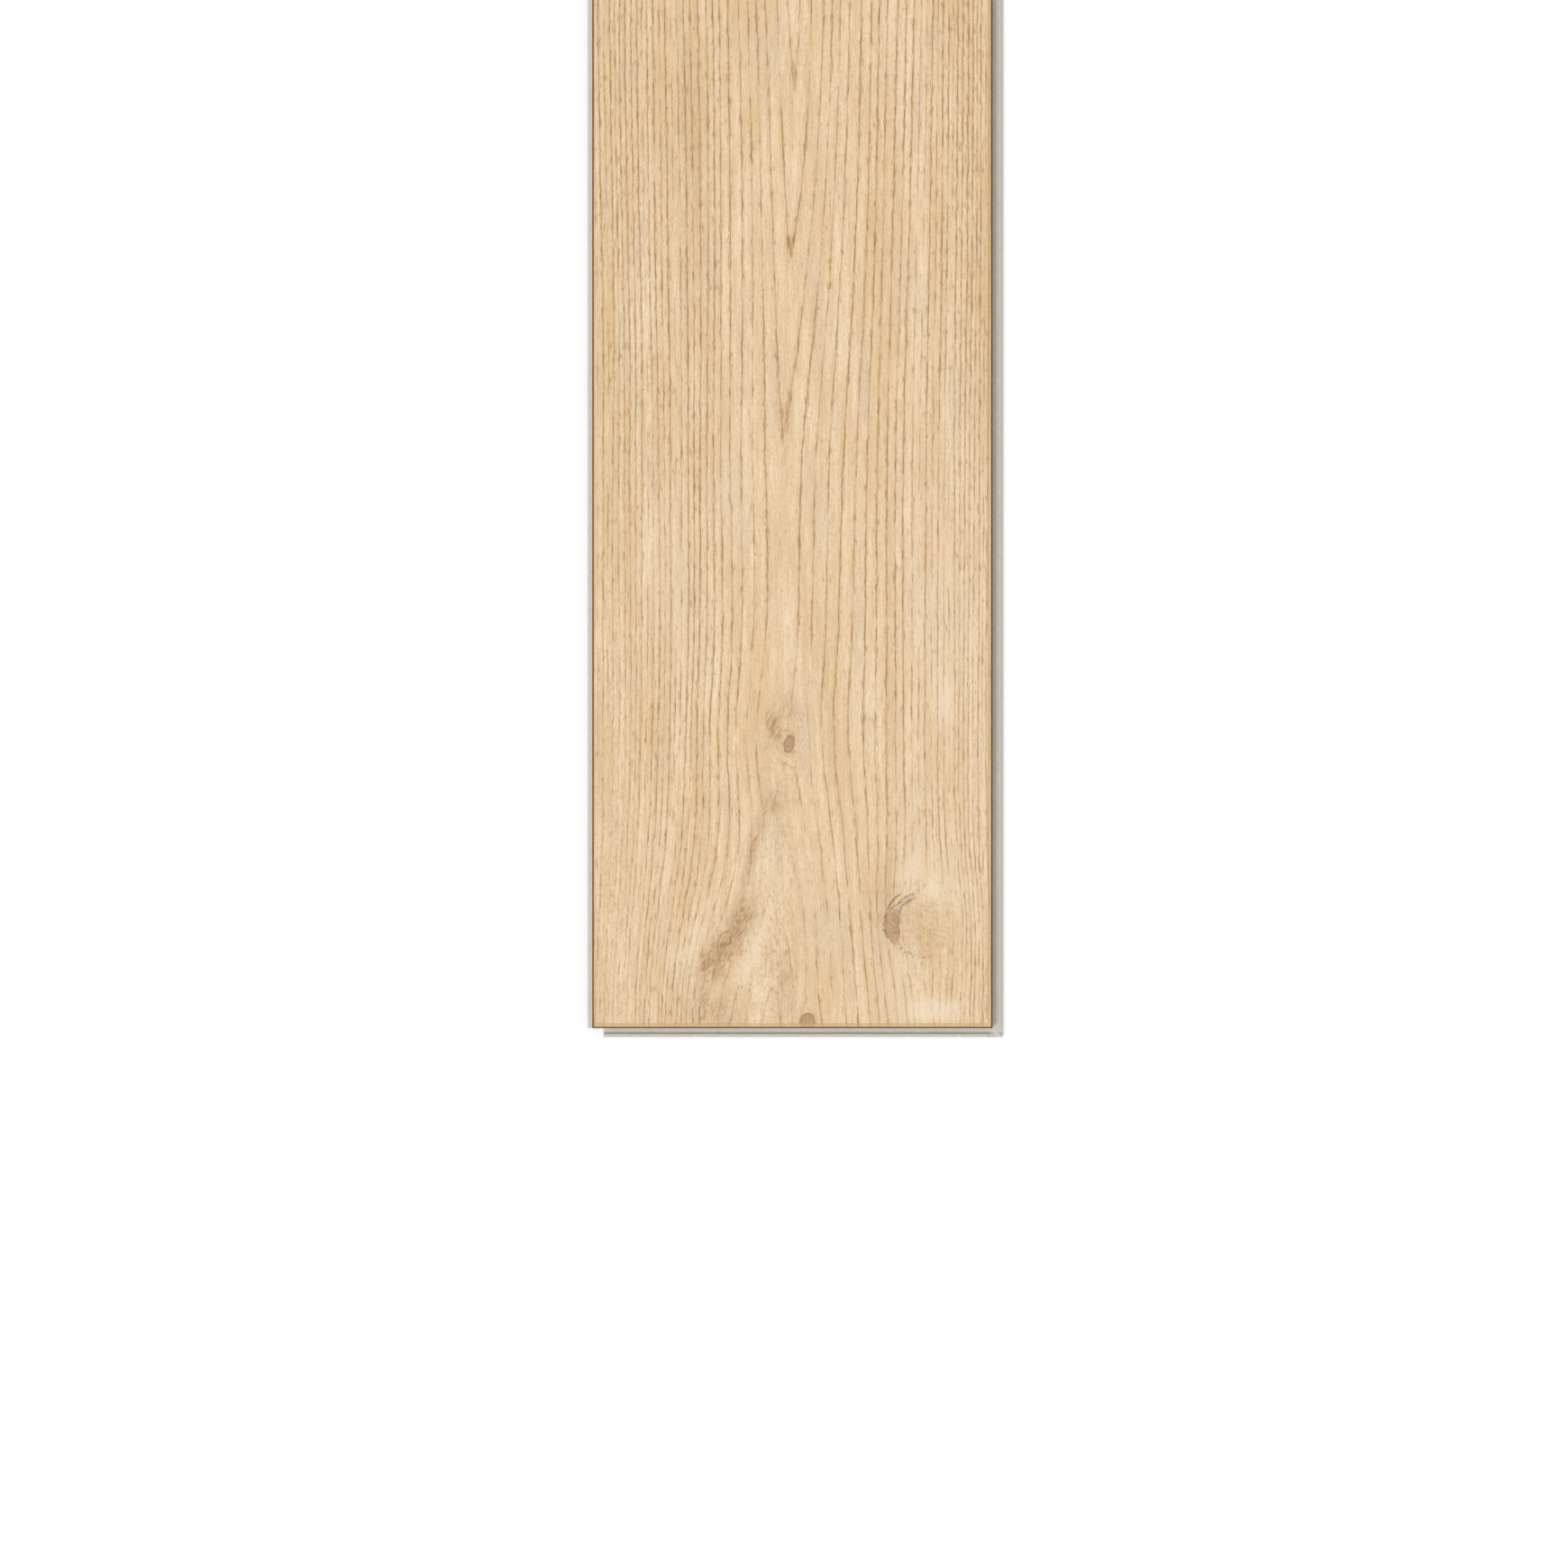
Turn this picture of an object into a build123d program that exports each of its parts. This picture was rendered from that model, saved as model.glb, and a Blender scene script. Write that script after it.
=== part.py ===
from build123d import *
from math import asin, degrees, radians, sqrt, tan
import os

# Rigid vinyl floor plank: one piece of stock, with half of a click joint milled along each edge.
# The origin is at the middle of the underside. +X points to the groove side, -Y to the strip end
# and +Z out of the walking face.
# The groove side receives the tongue side of the next row, which is turned down into it. The
# strip end receives the drop end of the next plank in its row, which goes straight down.
# A joint is drawn with the receiving plank on its left: across is to the right of the butt line,
# where the two faces meet, and heights are up from the underside.

# The stock, measured between butt lines
face_width = 228.6
face_length = 1219.2
thickness = 6.5

# Bevel round the face, and the strip pressed down beside it on the two receiving edges
bevel_width = 0.9
bevel_depth = 0.8
pressed_width = 1.6
pressed_drop = 0.15

# Gaps in the closed joints
seat_gap = 0.05
roof_gap = 0.1
nose_gap = 0.3
reach_gap = 0.3

# Groove side: a groove over a lip, whose hook holds the heel of the next row
lip_thickness = 1.6
sill_rise = 0.5
groove_height = 2.0
groove_root_height = 0.5
mouth_chamfer = 0.3
ramp_run = 0.9
heel_seat_run = 2.5
hook_rise = 0.8
hook_angle = 55
hook_top_width = 0.9
hook_back_run = 0.8
nose_radius = 0.25

# Strip end: an upright hook on a strip, and a slot in the butt face for the other end's bead
strip_thickness = 1.6
strip_seat_run = 3.2
strip_hook_rise = 1.8
strip_hook_lean = 0.2
strip_hook_width = 1.9
strip_hook_radius = 0.4
slot_bottom = 3.0
slot_height = 0.6
slot_depth = 0.25
slot_flank = 0.15
drop_hook_chamfer = 0.3

# Corners broken along the underside
underside_chamfer = 0.4

# Past the plank on every side, so that a cut or a milled section runs right out of it
run_out = 5.0

# Heights and distances that follow
butt_top = thickness - bevel_depth
groove_sill = lip_thickness + sill_rise
groove_roof = groove_sill + groove_height
groove_root_floor = groove_roof - groove_root_height
sill_radius = butt_top - groove_sill
groove_depth = sqrt(sill_radius**2 - (butt_top - groove_root_floor) ** 2)
hook_foot = ramp_run + heel_seat_run
hook_top = lip_thickness + hook_rise
hook_slope = tan(radians(hook_angle))
hook_back = hook_foot + hook_rise / hook_slope + hook_top_width
lip_reach = hook_back + hook_back_run
heel_recess = lip_reach + reach_gap + underside_chamfer

slot_top = slot_bottom + slot_height
strip_hook_top = strip_thickness + strip_hook_rise
strip_reach = strip_seat_run + strip_hook_lean + strip_hook_width
drop_recess = strip_reach + reach_gap + underside_chamfer


def turning_arc(radius, far_height):
    """Arc about the top edge of the butt line, from a height in the groove to straight below it."""
    start = degrees(asin((butt_top - far_height) / radius))
    return CenterArc((0, butt_top), radius, 180 + start, 90 - start)


def receiving_face_edge():
    """Points from the walking face over the pressed strip and the bevel to the butt line."""
    return [
        (-bevel_width - pressed_width, thickness),
        (-bevel_width, thickness - pressed_drop),
        (0, butt_top),
    ]


def groove_side():
    """Edges of the groove side, with the sill struck about the point where the next row turns."""
    upper = Polyline(
        *receiving_face_edge(),
        (0, groove_roof + mouth_chamfer),
        (-mouth_chamfer, groove_roof),
        (-groove_depth, groove_roof),
        (-groove_depth, groove_root_floor),
    )
    sill = turning_arc(sill_radius, groove_root_floor)
    lip = Polyline(
        (0, groove_sill),
        (ramp_run, lip_thickness),
        (hook_foot, lip_thickness),
        (hook_foot + hook_rise / hook_slope, hook_top),
        (hook_back, hook_top),
        (lip_reach, lip_thickness),
        (lip_reach, underside_chamfer),
        (lip_reach - underside_chamfer, 0),
    )
    return upper.edges() + sill.edges() + lip.edges()


def tongue_side():
    """Edges of the tongue side: the groove side's seats, moved off them by the gaps."""
    tongue_top = groove_roof - roof_gap
    tongue_length = groove_depth - nose_gap
    tongue_radius = sill_radius - seat_gap
    nose_floor = butt_top - sqrt(tongue_radius**2 - tongue_length**2)
    heel_bottom = lip_thickness + seat_gap
    heel_face = hook_foot + seat_gap / hook_slope - seat_gap
    recess_top = hook_top + roof_gap
    upper = FilletPolyline(
        (bevel_width, thickness),
        (0, butt_top),
        (0, tongue_top),
        (-tongue_length, tongue_top),
        (-tongue_length, nose_floor),
        radius=[0, 0, nose_radius],
    )
    underside = turning_arc(tongue_radius, nose_floor)
    heel = Polyline(
        (0, groove_sill + seat_gap),
        (ramp_run, heel_bottom),
        (heel_face, heel_bottom),
        (heel_face + (recess_top - heel_bottom) / hook_slope, recess_top),
        (lip_reach + reach_gap, recess_top),
        (lip_reach + reach_gap, underside_chamfer),
        (heel_recess, 0),
    )
    return upper.edges() + underside.edges() + heel.edges()


def strip_hook_face(height):
    """Distance across, at a height, of the strip hook's face that holds the other end."""
    return strip_seat_run + strip_hook_lean * (height - strip_thickness) / strip_hook_rise


def strip_end():
    """Edges of the strip end, with the upper corners of its hook rounded to lead the other in."""
    outline = FilletPolyline(
        *receiving_face_edge(),
        (0, slot_top),
        (-slot_depth, slot_top - slot_flank),
        (-slot_depth, slot_bottom + slot_flank),
        (0, slot_bottom),
        (0, strip_thickness),
        (strip_seat_run, strip_thickness),
        (strip_hook_face(strip_hook_top), strip_hook_top),
        (strip_reach, strip_hook_top),
        (strip_reach, underside_chamfer),
        (strip_reach - underside_chamfer, 0),
        radius=[0] * 8 + [strip_hook_radius] * 2 + [0],
    )
    return outline.edges()


def drop_end():
    """Edges of the drop end: a downward hook with a bead, moved off the strip end by the gaps."""
    bead_top = slot_top - seat_gap
    bead_bottom = slot_bottom + seat_gap
    bead_reach = slot_depth - seat_gap
    hook_bottom = strip_thickness + seat_gap
    hook_side = hook_bottom + drop_hook_chamfer
    recess_top = strip_hook_top + roof_gap
    outline = Polyline(
        (bevel_width, thickness),
        (0, butt_top),
        (0, bead_top),
        (-bead_reach, bead_top - slot_flank),
        (-bead_reach, bead_bottom + slot_flank),
        (seat_gap, bead_bottom),
        (seat_gap, hook_side),
        (seat_gap + drop_hook_chamfer, hook_bottom),
        (strip_hook_face(hook_side) - seat_gap - drop_hook_chamfer, hook_bottom),
        (strip_hook_face(hook_side) - seat_gap, hook_side),
        (strip_hook_face(recess_top) - seat_gap, recess_top),
        (strip_reach + reach_gap, recess_top),
        (strip_reach + reach_gap, underside_chamfer),
        (drop_recess, 0),
    )
    return outline.edges()


def milled_section(receiving, entering, pitch):
    """Closed section with a receiving edge to the right and an entering edge to the left."""
    right = Pos(pitch / 2, 0) * Curve(receiving)
    left = Pos(-pitch / 2, 0) * Curve(entering)
    right_ends = right.vertices().sort_by(Axis.Y)
    left_ends = left.vertices().sort_by(Axis.Y)
    face = Line(left_ends[-1], right_ends[-1])
    underside = Line(left_ends[0], right_ends[0])
    return make_face(left.edges() + right.edges() + face.edges() + underside.edges())


def block(x_range, y_range, z_range):
    """Box between two values on each axis."""
    low, high = zip(x_range, y_range, z_range)
    size = [b - a for a, b in zip(low, high)]
    return Pos(*low) * Box(*size, align=(Align.MIN, Align.MIN, Align.MIN))


def drop_corner_cut():
    """The groove's lip is cut back over the drop end, where the next plank's strip takes its place."""
    return block(
        (face_width / 2 - groove_depth, face_width / 2 + lip_reach + run_out),
        (face_length / 2 - drop_recess, face_length / 2 + run_out),
        (-run_out, groove_roof),
    )


def strip_corner_cut():
    """The strip is cut back at the tongue side, to clear the lip of the row that it lies against."""
    return block(
        (-face_width / 2 - groove_depth - run_out, -face_width / 2 + heel_recess),
        (-face_length / 2 - strip_reach - run_out, -face_length / 2),
        (-run_out, thickness + run_out),
    )


def plank():
    """The stock milled along its sides, then across its ends, with two corners cut back."""
    across = Plane.XZ
    along = Plane(origin=(0, 0, 0), x_dir=(0, -1, 0), z_dir=(-1, 0, 0))
    side_section = across * milled_section(groove_side(), tongue_side(), face_width)
    end_section = along * milled_section(strip_end(), drop_end(), face_length)
    sides = extrude(side_section, face_length / 2 + strip_reach + run_out, both=True)
    ends = extrude(end_section, face_width / 2 + lip_reach + run_out, both=True)
    return (sides & ends) - drop_corner_cut() - strip_corner_cut()


os.makedirs("parts", exist_ok=True)
piece = plank().solid()
piece.label = "plank"
export_step(piece, "parts/plank.step")
print("volume in cubic mm", round(piece.volume))
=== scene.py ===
import bpy
import bmesh
from collections import namedtuple
from math import cos, exp, floor, hypot, log, pi, radians, sin
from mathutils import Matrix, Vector, noise


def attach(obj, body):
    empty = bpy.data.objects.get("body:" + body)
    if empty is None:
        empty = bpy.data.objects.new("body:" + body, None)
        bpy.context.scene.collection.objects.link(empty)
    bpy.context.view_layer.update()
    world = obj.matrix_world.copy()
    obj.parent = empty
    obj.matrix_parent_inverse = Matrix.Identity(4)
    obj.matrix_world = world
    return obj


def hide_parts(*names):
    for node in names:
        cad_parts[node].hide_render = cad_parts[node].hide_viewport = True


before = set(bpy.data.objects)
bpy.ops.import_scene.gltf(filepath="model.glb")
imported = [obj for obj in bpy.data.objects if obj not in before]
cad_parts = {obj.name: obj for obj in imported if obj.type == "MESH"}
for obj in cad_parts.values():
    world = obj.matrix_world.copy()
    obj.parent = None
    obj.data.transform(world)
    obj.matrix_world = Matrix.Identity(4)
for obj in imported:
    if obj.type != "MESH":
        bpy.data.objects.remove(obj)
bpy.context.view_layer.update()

bl_info = {
    "name": "Vinyl floor plank",
    "version": (1, 0, 0),
    "blender": (4, 5, 0),
    "location": "View3D > Sidebar > Floor plank",
    "description": "Dresses a rigid vinyl floor plank in its embossed oak decor, on a white stage",
    "category": "Object",
}

MM = 0.001
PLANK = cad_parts["plank"]

# Where the photo shows the plank, in its frame of 1740 by 1740 pixels
PHOTO_SIDE = 1740
PHOTO_LEFT_BUTT = 657.2
PHOTO_RIGHT_BUTT = 1101.5
PHOTO_STRIP_BUTT = 1141.0


def linear(red, green, blue):
    """Scene-linear colour of an 8-bit screen colour."""
    shares = [value / 255 for value in (red, green, blue)]
    return tuple(s / 12.92 if s <= 0.04045 else ((s + 0.055) / 1.055) ** 2.4 for s in shares)


def colour(name, description, default):
    return bpy.props.FloatVectorProperty(
        name=name, description=description, default=linear(*default), subtype="COLOR", min=0, max=1
    )


def size(name, description, default):
    return bpy.props.FloatProperty(
        name=name, description=description, default=default, min=0, unit="LENGTH", precision=5
    )


def strength(name, description, default, top):
    return bpy.props.FloatProperty(name=name, description=description, default=default, min=0, max=top)


# The decor's figure. Here lengths are in millimetres: across from the middle of the plank towards
# its groove side, and along from the butt line of its strip end.

Knot = namedtuple("Knot", "across along half_width half_length turn push spread rings")
EYE_KNOT = Knot(-1.8, 162.2, 3.1, 5.4, -14, 0.75, 11, 1.1)
ROUND_KNOT = Knot(74.2, 58.5, 17.6, 17.6, 0, 0.42, 24, 0.6)
END_KNOT = Knot(8.7, 4, 4.5, 4.7, 0, 0.6, 8, 0.6)
PIN_KNOT = Knot(37, 655, 2.2, 3.4, 10, 0.7, 9, 1.2)
OVAL_KNOT = Knot(-54, 905, 6.5, 10.5, 18, 0.8, 20, 2.2)
FAR_KNOT = Knot(14, 1110, 2.6, 4.2, -8, 0.75, 10, 1.2)
KNOTS = (EYE_KNOT, ROUND_KNOT, END_KNOT, PIN_KNOT, OVAL_KNOT, FAR_KNOT)
SPOT_KNOTS = (EYE_KNOT, END_KNOT, PIN_KNOT, OVAL_KNOT, FAR_KNOT)

Blot = namedtuple("Blot", "across along half_width half_length turn amount")
STAINS = (
    Blot(-44, 40.5, 8.5, 15, -27, 0.95),
    Blot(-30.5, 60, 8, 18, -31, 0.75),
    Blot(-4, 182, 9, 12, 0, 0.4),
    Blot(-10.5, 172, 4, 9, 22, 0.8),
    Blot(-15, 158, 5, 12, 0, 0.3),
    Blot(-9.5, 128, 6, 10, 0, 0.5),
    Blot(73, 55, 14, 13, 0, 0.35),
    Blot(56, 78, 9, 22, -8, 0.35),
    Blot(-22, 104, 3.5, 26, -16, 0.6),
    Blot(-5, 28, 8, 26, 4, 0.5),
    Blot(-48, 9, 18, 15, -20, 0.55),
    Blot(-60, 915, 11, 26, 20, 0.5),
    Blot(34, 668, 6, 17, -12, 0.4),
    Blot(-58, 510, 8, 60, 3, 0.35),
    Blot(60, 800, 10, 70, -2, 0.35),
)
PALES = (
    Blot(-21.5, 45.5, 5, 16, -23, 0.85),
    Blot(-29, 29, 5, 8, -35, 0.6),
    Blot(-54, 54, 4.5, 9, -18, 0.7),
    Blot(-62, 41, 8, 10, -25, 0.65),
    Blot(-4, 88, 10, 17, 0, 0.4),
    Blot(67.5, 90, 5, 10.5, -24, 1.2),
    Blot(79, 80, 5, 7.5, 0, 1),
    Blot(92, 78, 9, 12, 0, 0.5),
    Blot(80, 10.5, 16, 6.5, 0, 1.4),
    Blot(92, 240, 27, 140, 0, 0.5),
    Blot(60, 30, 9, 14, 0, 0.5),
    Blot(88, 186, 6, 14, 0, 0.6),
    Blot(-72, 262, 12, 60, 0, 0.4),
    Blot(-36, 300, 5, 45, 0, 0.5),
    Blot(-40, 870, 12, 30, 10, 0.5),
)

# Round the knots the ring lines break up into short strokes
CALMS = (
    Blot(76, 58, 21, 27, 0, 1.5),
    Blot(-5, 166, 13, 20, 0, 1.1),
    Blot(-7, 84, 15, 46, 0, 1.1),
    Blot(-42, 42, 13, 26, -26, 1),
    Blot(-22, 38, 8, 24, -18, 0.8),
    Blot(-102, 60, 14, 90, 0, 0.6),
    Blot(8.7, 4, 6, 7, 0, 1.2),
    Blot(-8, 30, 8, 26, 3, 0.5),
    Blot(-98, 240, 16, 190, 0, 0.45),
    Blot(37, 655, 6, 14, 0, 1),
    Blot(-54, 905, 14, 26, 10, 1.1),
    Blot(14, 1110, 7, 14, 0, 1),
)

# The strokes of the dark streaks lie at this turn from the length of the plank
STREAK_TURN = -31

# The faint curls inside the round knot lie at this turn
CURL_TURN = 68

# The bark pocket of the round knot is bent round this side of it
POCKET_TURN = 170

# Below this place the grain parts, to either side of the dark streak
PARTING = Knot(-27, 8, 0, 0, 0, 0.5, 50, 0)

# A knot pushes the fibre aside this much further along the grain than across it. The rings that
# it adds lie closer round it, by this much in the square of the distance.
ALONG_STRETCH = 1.7
KNOT_RING_SHRINK = 3.2

# Rings are wide beside the heart of the board and crowd together past the onset
RingSide = namedtuple("RingSide", "slope core core_reach gain onset softness")
LEFT_RINGS = RingSide(0.165, 1.15, 5, 0.16, 38, 12)
RIGHT_RINGS = RingSide(0.155, 1.15, 5.5, 0.27, 85, 13)
WIDEST_RING = 9

# The heart line, and the ring numbers on it, which are highest at its turn
HEART_ACROSS = -6
HEART_RINGS = 7
HEART_COUNT = 2.3
HEART_SWING = 1.55
HEART_TURN = 228
HEART_HALF_WAVE = 470
HEART_FALL = 208

# Where the heart line bends, and how far to either side the rings follow it
Bend = namedtuple("Bend", "by centre reach")
HEART_BENDS = (Bend(-6, 168, 42), Bend(-14, 5, 62))
HEART_DRIFT = 7
HEART_DRIFT_START = 330
HEART_DRIFT_LENGTH = 150
HEART_SWAY_REACH = 42

# Noise of a given strength that changes over this many millimetres
Wave = namedtuple("Wave", "by across along seed")
SLOW_WAVE = Wave(1, 24, 160, 1.3)
QUICK_WAVE = Wave(1, 7, 18, 2.9)
UNEVEN_RINGS = Wave(0.3, 2.3, 260, 5.1)
RAGGED_BLOT = Wave(0.35, 3, 11, 7.7)

# Round this place the knots leave the grain restless: it wavers more, breaks up and is fainter
RESTLESS = Bend(1, 70, 120)
CALM_WAVER, RESTLESS_WAVER = 0.3, 0.35
CALM_BREAKS, RESTLESS_BREAKS = 0.6, 0.7

# How much of a ring line's strength is lost where the wood is calm, restless or pale
CALM_FADE, RESTLESS_FADE, PALE_FADE = 0.93, 0.25, 0.85

# The rings beside the heart are at least this strong
HEART_STRENGTH = 0.62

# Half the width of the groove that a ring line is embossed as
GROOVE_REACH = 0.7


def bell(value, centre, reach):
    return exp(-(((value - centre) / reach) ** 2))


def bend_at(bend, along):
    return bend.by * bell(along, bend.centre, bend.reach)


def waver(across, along, seed):
    """Smooth noise from -1 to 1 at a place that is already scaled."""
    return noise.noise(Vector((across, along, seed)))


def wave_at(wave, across, along):
    return wave.by * waver(across / wave.across, along / wave.along, wave.seed)


def blot_at(blot, across, along):
    """How strongly a blot covers a place, with a ragged outline drawn out along the grain."""
    turn = radians(blot.turn)
    right, up = across - blot.across, along - blot.along
    wide = (right * cos(turn) + up * sin(turn)) / blot.half_width
    long = (up * cos(turn) - right * sin(turn)) / blot.half_length
    ragged = 1 + wave_at(RAGGED_BLOT, across, along)
    return blot.amount * exp(-(wide * wide + long * long) * ragged)


def knot_reach(knot, across, along):
    """Square of the distance from a knot, counted in its spread, which is longer along the grain."""
    wide = (across - knot.across) / knot.spread
    long = (along - knot.along) / (knot.spread * ALONG_STRETCH)
    return wide * wide + long * long


def heart_count(along):
    """Ring number on the heart line. It is highest at the turn, with arches open to both ends."""
    if along > HEART_TURN:
        return HEART_COUNT + HEART_SWING * cos(pi * (along - HEART_TURN) / HEART_HALF_WAVE)
    return (HEART_COUNT + HEART_SWING) * exp(-(((HEART_TURN - along) / HEART_FALL) ** 4))


def rings_out(distance, side, crowding):
    """Rings between the heart line and a distance to one side of it."""
    heart = crowding * side.core * (1 - exp(-distance / side.core_reach))
    flank = side.gain * side.softness * log(1 + exp((distance - side.onset) / side.softness))
    return side.slope * distance + heart + flank


def fibre_across(across, along):
    """Where the fibre through a place would lie across the plank if no knot pushed it aside."""
    moved = across
    for knot in KNOTS + (PARTING,):
        near = exp(-knot_reach(knot, across, along))
        moved -= knot.push * (across - knot.across) * near
    quick = (CALM_WAVER + RESTLESS_WAVER * bend_at(RESTLESS, along)) * wave_at(QUICK_WAVE, across, along)
    return moved + wave_at(SLOW_WAVE, across, along) + quick


def from_heart(across, along):
    """Distance to the right of the heart of the board, whose bends move the nearest rings most."""
    straight = fibre_across(across, along) - HEART_ACROSS
    drift = HEART_DRIFT * sin(max(0, along - HEART_DRIFT_START) / HEART_DRIFT_LENGTH)
    bends = drift + sum(bend_at(bend, along) for bend in HEART_BENDS)
    return straight - bends * bell(straight, 0, HEART_SWAY_REACH)


def ring_count(across, along):
    """Growth ring number at a place, with a dark line wherever it passes a whole number and a half."""
    distance = from_heart(across, along)
    side = LEFT_RINGS if distance < 0 else RIGHT_RINGS
    heart = heart_count(along)
    crowding = min(1, 0.2 + 0.25 * heart)
    outward = rings_out(abs(distance), side, crowding)
    count = hypot(outward, heart)
    for knot in KNOTS:
        count += knot.rings * exp(-KNOT_RING_SHRINK * knot_reach(knot, across, along))
    return count + wave_at(UNEVEN_RINGS, outward, along)


def cover(blots, across, along):
    """How strongly any of these blots covers a place, from 0 to 1."""
    return min(1, sum(blot_at(blot, across, along) for blot in blots))


def line_strength(count, along, calm):
    """How dark the ring line is: each ring has its own strength and breaks up along its length."""
    ring = floor(count)
    own = 0.6 + min(0.24, 0.012 * ring) + waver(ring * 3.71, 0.5, 11)
    if ring < HEART_RINGS:
        own = max(own, HEART_STRENGTH)
    restless = bend_at(RESTLESS, along)
    long_breaks = 0.9 * waver(ring * 5.13, along / 34, 3)
    short_breaks = (CALM_BREAKS + RESTLESS_BREAKS * restless) * waver(ring * 9.7, along / 9, 4)
    whole = max(0, min(1, own + long_breaks + short_breaks))
    return whole * (1 - CALM_FADE * calm) * (1 - RESTLESS_FADE * restless)


def grain_at(across, along, calm):
    """Ring number, millimetres to a ring, and line strength at a place."""
    step = 0.4
    count = ring_count(across, along)
    across_slope = (ring_count(across + step, along) - count) / step
    along_slope = (ring_count(across, along + step) - count) / step
    slope = hypot(across_slope, along_slope)
    spacing = 1 / max(slope, 1 / WIDEST_RING)
    return count, spacing, line_strength(count, along, calm)


# The dressed plank's mesh, in metres

FaceLines = namedtuple("FaceLines", (
    "low high flat_low flat_high pressed_right pressed_front butt_height pressed_height height"
))

# Points of the CAD mesh that lie this close are one
POINT_SLACK = 0.001 * MM

# Points of the two rims are joined where they lie this close
RIM_SLACK = 0.005 * MM

# Heights and places that differ by less than this are the same
LEVEL_SLACK = 0.02 * MM

# A face is level where its normal stands up more than the first of these, and upright below the second
LEVEL_NORMAL, UPRIGHT_NORMAL = 0.99, 0.01

# Over a knot the face's rows lie close, out to twice its half length and this much more
KNOT_MARGIN = 14

# The embossing fades out over this width beside the bevels
EMBOSS_FADE = 1.5 * MM


def is_at(value, level):
    return abs(value - level) < LEVEL_SLACK


def corners(places):
    low = Vector((min(p.x for p in places), min(p.y for p in places)))
    high = Vector((max(p.x for p in places), max(p.y for p in places)))
    return low, high


def face_lines(bm):
    """Butt lines, bevel edges and pressed strips of the walking face, read from the CAD mesh."""
    height = max(v.co.z for v in bm.verts)
    levels = sorted({round(v.co.z, 6) for v in bm.verts if v.co.z > 0.8 * height})
    butt_height, pressed_height = levels[-3], levels[-2]
    low, high = corners([v.co for v in bm.verts if is_at(v.co.z, butt_height)])
    flat_low, flat_high = corners([v.co for v in bm.verts if is_at(v.co.z, height)])
    pressed_low, pressed_high = corners([v.co for v in bm.verts if is_at(v.co.z, pressed_height)])
    return FaceLines(
        low, high, flat_low, flat_high,
        pressed_high.x, pressed_low.y, butt_height, pressed_height, height,
    )


def cad_face_lines():
    """The same lines, read from the CAD plank as it is."""
    bm = bmesh.new()
    bm.from_mesh(PLANK.data)
    lines = face_lines(bm)
    bm.free()
    return lines


def column_lines(lines, columns):
    """Where the face's mesh is divided across the plank: evenly, and on each edge of its bevels."""
    step = (lines.flat_high.x - lines.flat_low.x) / columns
    even = [lines.flat_low.x + step * i for i in range(columns + 1)]
    return [lines.low.x] + even + [lines.pressed_right, lines.high.x]


def row_lines(lines, wide_step, close_step):
    """Where the face's mesh is divided along the plank, closer together over the knots."""
    rows = [lines.flat_low.y]
    while rows[-1] < lines.flat_high.y:
        along = (rows[-1] - lines.low.y) / MM
        near = max(bell(along, knot.along, knot.half_length * 2 + KNOT_MARGIN) for knot in KNOTS)
        rows.append(rows[-1] + wide_step + (close_step - wide_step) * near)
    squeeze = (lines.flat_high.y - rows[0]) / (rows[-1] - rows[0])
    rows = [rows[0] + (row - rows[0]) * squeeze for row in rows]
    return [lines.low.y, lines.pressed_front] + rows + [lines.high.y]


def between(value, places, heights):
    """Height at a value on the broken line through the given places and heights."""
    for left, right, start, end in zip(places, places[1:], heights, heights[1:]):
        if value <= right:
            return start + (end - start) * (value - left) / (right - left)
    return heights[-1]


def face_height(lines, x, y):
    """Height of the face before it is embossed, over its bevels and pressed strips."""
    side = between(
        x,
        (lines.low.x, lines.flat_low.x, lines.flat_high.x, lines.pressed_right, lines.high.x),
        (lines.butt_height, lines.height, lines.height, lines.pressed_height, lines.butt_height),
    )
    end = between(
        y,
        (lines.low.y, lines.pressed_front, lines.flat_low.y, lines.flat_high.y, lines.high.y),
        (lines.butt_height, lines.pressed_height, lines.height, lines.height, lines.butt_height),
    )
    return min(side, end)


def open_body():
    """The CAD plank as a clean mesh with its walking face and bevels taken off."""
    bm = bmesh.new()
    bm.from_mesh(PLANK.data)
    bmesh.ops.remove_doubles(bm, verts=bm.verts, dist=POINT_SLACK)
    bmesh.ops.dissolve_limit(bm, angle_limit=radians(1), verts=bm.verts, edges=bm.edges)
    lines = face_lines(bm)
    lowest = lines.butt_height - LEVEL_SLACK
    walked_on = [f for f in bm.faces if all(v.co.z > lowest for v in f.verts)]
    bmesh.ops.delete(bm, geom=walked_on, context="FACES")
    ledges = [f for f in bm.faces if f.normal.z > LEVEL_NORMAL]
    round_them = {item for f in ledges for item in (*f.verts, *f.edges)}
    bmesh.ops.bisect_plane(
        bm, geom=ledges + list(round_them), dist=POINT_SLACK,
        plane_co=(0, lines.low.y, 0), plane_no=(0, 1, 0),
    )
    for name in ("grain", "fibre", "figure"):
        bm.verts.layers.float_vector.new(name)
    return bm, lines


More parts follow.
